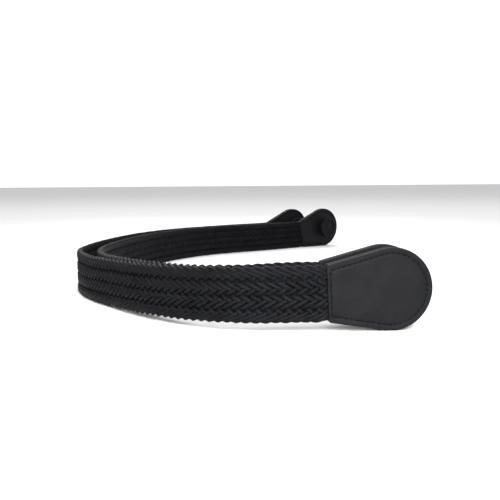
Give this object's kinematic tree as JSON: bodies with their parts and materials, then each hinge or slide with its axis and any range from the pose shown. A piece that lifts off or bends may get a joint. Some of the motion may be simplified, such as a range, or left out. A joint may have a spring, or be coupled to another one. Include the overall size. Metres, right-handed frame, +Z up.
{
  "type": "braided bag handle pair",
  "caption": "Pair of flat braided handles nested in a U, each with drop-shaped stitched tabs and screw-on pegs on their inner faces.",
  "frame": {"origin": "middle of the pair's footprint, on the surface it stands on", "axes": "+Z up, along the band's width; +Y from the near legs to the far legs; the open ends of both U shapes towards +X"},
  "size_m": [0.196, 0.411, 0.0368],
  "materials": {
    "braid": "dull waxed cord",
    "leatherette": "fine-grained, satin",
    "stiffener": "matte",
    "thread": "waxed thread",
    "stud": "black lacquer",
    "washer": "matte",
    "knob": "satin"
  },
  "bodies": {
    "outer_handle": {"outer_band": "braid", "outer_near_stiffener": "stiffener", "outer_near_face_panel": "leatherette", "outer_near_back_panel": "leatherette", "outer_near_face_stitching": "thread", "outer_near_back_stitching": "thread", "outer_near_stud": "stud", "outer_far_stiffener": "stiffener", "outer_far_face_panel": "leatherette", "outer_far_back_panel": "leatherette", "outer_far_face_stitching": "thread", "outer_far_back_stitching": "thread", "outer_far_stud": "stud"},
    "inner_handle": {"inner_band": "braid", "inner_near_stiffener": "stiffener", "inner_near_face_panel": "leatherette", "inner_near_back_panel": "leatherette", "inner_near_face_stitching": "thread", "inner_near_back_stitching": "thread", "inner_near_stud": "stud", "inner_far_stiffener": "stiffener", "inner_far_face_panel": "leatherette", "inner_far_back_panel": "leatherette", "inner_far_face_stitching": "thread", "inner_far_back_stitching": "thread", "inner_far_stud": "stud"},
    "outer_near_washer": {"outer_near_washer": "washer"},
    "outer_near_knob": {"outer_near_knob": "knob"},
    "outer_far_washer": {"outer_far_washer": "washer"},
    "outer_far_knob": {"outer_far_knob": "knob"},
    "inner_near_washer": {"inner_near_washer": "washer"},
    "inner_near_knob": {"inner_near_knob": "knob"},
    "inner_far_washer": {"inner_far_washer": "washer"},
    "inner_far_knob": {"inner_far_knob": "knob"}
  },
  "joints": [
    {"name": "inner_handle_lift", "type": "slide", "parent": "outer_handle", "child": "inner_handle", "axis": [0, 0, 1], "range_m": [0, 0.06]},
    {"name": "outer_near_knob_travel", "type": "slide", "parent": "outer_handle", "child": "outer_near_washer", "axis": [-0.1392, 0.9903, 0], "range_m": [0, 0.001]},
    {"name": "outer_near_knob_turn", "type": "hinge", "parent": "outer_near_washer", "child": "outer_near_knob", "pos_m": [0.07206, -0.19787, 0.0184], "axis": [-0.1392, 0.9903, 0], "range_deg": [0, 180]},
    {"name": "outer_far_knob_travel", "type": "slide", "parent": "outer_handle", "child": "outer_far_washer", "axis": [0.6157, -0.788, 0], "range_m": [0, 0.001]},
    {"name": "outer_far_knob_turn", "type": "hinge", "parent": "outer_far_washer", "child": "outer_far_knob", "pos_m": [0.05106, 0.18813, 0.0184], "axis": [0.6157, -0.788, 0], "range_deg": [0, 180]},
    {"name": "inner_near_knob_travel", "type": "slide", "parent": "inner_handle", "child": "inner_near_washer", "axis": [-0.1392, 0.9903, 0], "range_m": [0, 0.006]},
    {"name": "inner_near_knob_turn", "type": "hinge", "parent": "inner_near_washer", "child": "inner_near_knob", "pos_m": [0.07056, -0.18367, 0.0184], "axis": [-0.1392, 0.9903, 0], "range_deg": [0, 1080]},
    {"name": "inner_far_knob_travel", "type": "slide", "parent": "inner_handle", "child": "inner_far_washer", "axis": [0.5878, -0.809, 0], "range_m": [0, 0.006]},
    {"name": "inner_far_knob_turn", "type": "hinge", "parent": "inner_far_washer", "child": "inner_far_knob", "pos_m": [0.08206, 0.19313, 0.0184], "axis": [0.5878, -0.809, 0], "range_deg": [0, 1080]}
  ],
  "couplings": [
    {"joint": "outer_near_knob_turn", "follows": "outer_near_knob_travel", "rad_per_m": 3141.6},
    {"joint": "outer_far_knob_turn", "follows": "outer_far_knob_travel", "rad_per_m": 3141.6},
    {"joint": "inner_near_knob_turn", "follows": "inner_near_knob_travel", "rad_per_m": 3141.6},
    {"joint": "inner_far_knob_turn", "follows": "inner_far_knob_travel", "rad_per_m": 3141.6}
  ]
}
